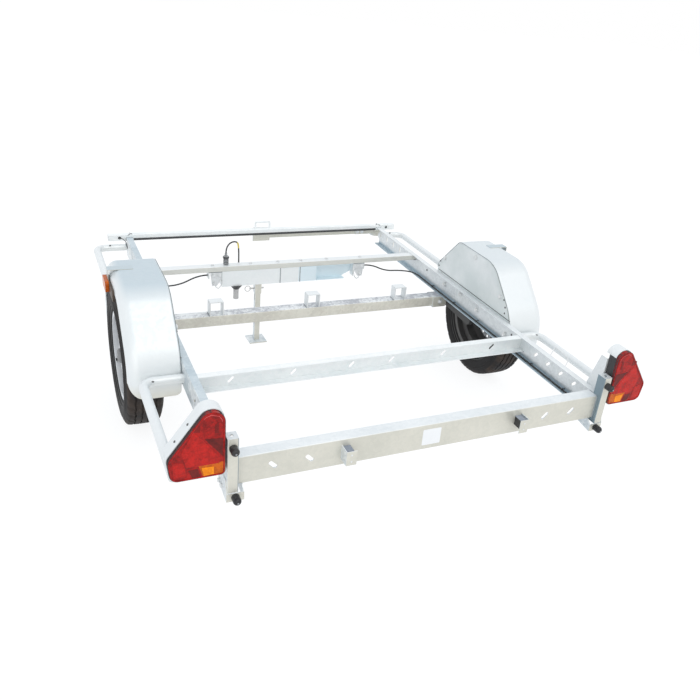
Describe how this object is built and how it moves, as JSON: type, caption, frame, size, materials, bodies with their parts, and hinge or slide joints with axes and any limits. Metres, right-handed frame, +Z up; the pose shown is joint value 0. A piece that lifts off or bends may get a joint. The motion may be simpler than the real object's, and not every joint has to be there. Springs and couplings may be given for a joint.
{
  "type": "boat trailer",
  "caption": "Open galvanised boat trailer frame with mudguarded wheels, corner tail lamps, slotted cross members and a swing-away drawbar folded across its front.",
  "frame": {"origin": "centre of the outline on the floor, under the middle of the wheels", "axes": "+Y forward to the tow end, +X to the right side, +Z up"},
  "size_m": [1.858, 2.18, 0.638],
  "materials": {
    "axle_black": "black paint",
    "black_plastic": "moulded",
    "buffer_rubber": "glossy moulded",
    "cable_black": "cable sheath",
    "galvanised_steel": "hot-dip galvanised, mottled",
    "hub_steel": "grey cast",
    "lens_amber": "moulded lens",
    "lens_red": "moulded lens",
    "mudguard_steel": "smooth zinc sheet",
    "pin_steel": "plated",
    "tyre_rubber": "matt tread",
    "wheel_silver": "silver paint"
  },
  "bodies": {
    "chassis": {"axle_beam": "galvanised_steel", "axle_brackets": "galvanised_steel", "beam_hangers": "galvanised_steel", "buffers_left": "buffer_rubber", "buffers_right": "buffer_rubber", "bunk_saddles": "galvanised_steel", "connector_plug": "black_plastic", "drawbar_hinge_bracket": "galvanised_steel", "drawbar_hinge_pin": "pin_steel", "front_crossbar": "galvanised_steel", "front_tie_loop": "galvanised_steel", "funnel_collar": "black_plastic", "funnel_tube": "galvanised_steel", "lamp_bracket_left": "galvanised_steel", "lamp_bracket_right": "galvanised_steel", "lamp_housing_left": "black_plastic", "lamp_housing_right": "black_plastic", "lamp_lens_amber_left": "lens_amber", "lamp_lens_amber_right": "lens_amber", "lamp_lens_red_left": "lens_red", "lamp_lens_red_right": "lens_red", "leg_pin": "pin_steel", "leg_sleeve": "galvanised_steel", "marker_bases": "black_plastic", "marker_lenses": "lens_amber", "marker_tabs": "galvanised_steel", "mudguard_left": "mudguard_steel", "mudguard_plate_left": "mudguard_steel", "mudguard_plate_right": "mudguard_steel", "mudguard_right": "mudguard_steel", "plate_lamp_guards": "galvanised_steel", "plate_lamps": "black_plastic", "plug_lead": "cable_black", "post_strap_left": "galvanised_steel", "post_strap_right": "galvanised_steel", "rail_left": "galvanised_steel", "rail_right": "galvanised_steel", "rear_crossbar": "galvanised_steel", "rear_post_left": "galvanised_steel", "rear_post_right": "galvanised_steel", "second_cross_member": "galvanised_steel", "side_tubes_front": "galvanised_steel", "side_tubes_rear": "galvanised_steel", "stowage_beam_box": "galvanised_steel", "stowage_beam_panel": "galvanised_steel", "third_cross_member": "galvanised_steel", "trailing_arm_left": "axle_black", "trailing_arm_right": "axle_black", "wiring_looms": "cable_black"},
    "wheel_left": {"tyre_left": "tyre_rubber", "rim_left": "wheel_silver", "hub_left": "hub_steel"},
    "wheel_right": {"tyre_right": "tyre_rubber", "rim_right": "wheel_silver", "hub_right": "hub_steel"},
    "drawbar": {"drawbar_tube": "galvanised_steel", "coupling_head": "galvanised_steel", "coupling_lever": "galvanised_steel"},
    "prop_leg": {"prop_leg": "galvanised_steel"}
  },
  "joints": [
    {"name": "wheel_left_spin", "type": "hinge", "parent": "chassis", "child": "wheel_left", "pos_m": [-0.837, -0.039, 0.281], "axis": [1, 0, 0], "continuous": true},
    {"name": "wheel_right_spin", "type": "hinge", "parent": "chassis", "child": "wheel_right", "pos_m": [0.837, -0.039, 0.281], "axis": [1, 0, 0], "continuous": true},
    {"name": "drawbar_swing", "type": "hinge", "parent": "chassis", "child": "drawbar", "pos_m": [0, 1.056, 0.383], "axis": [0, 0, 1], "range_deg": [0, 90]},
    {"name": "prop_leg_slide", "type": "slide", "parent": "chassis", "child": "prop_leg", "axis": [0, 0, 1], "range_m": [0, 0.06]}
  ]
}
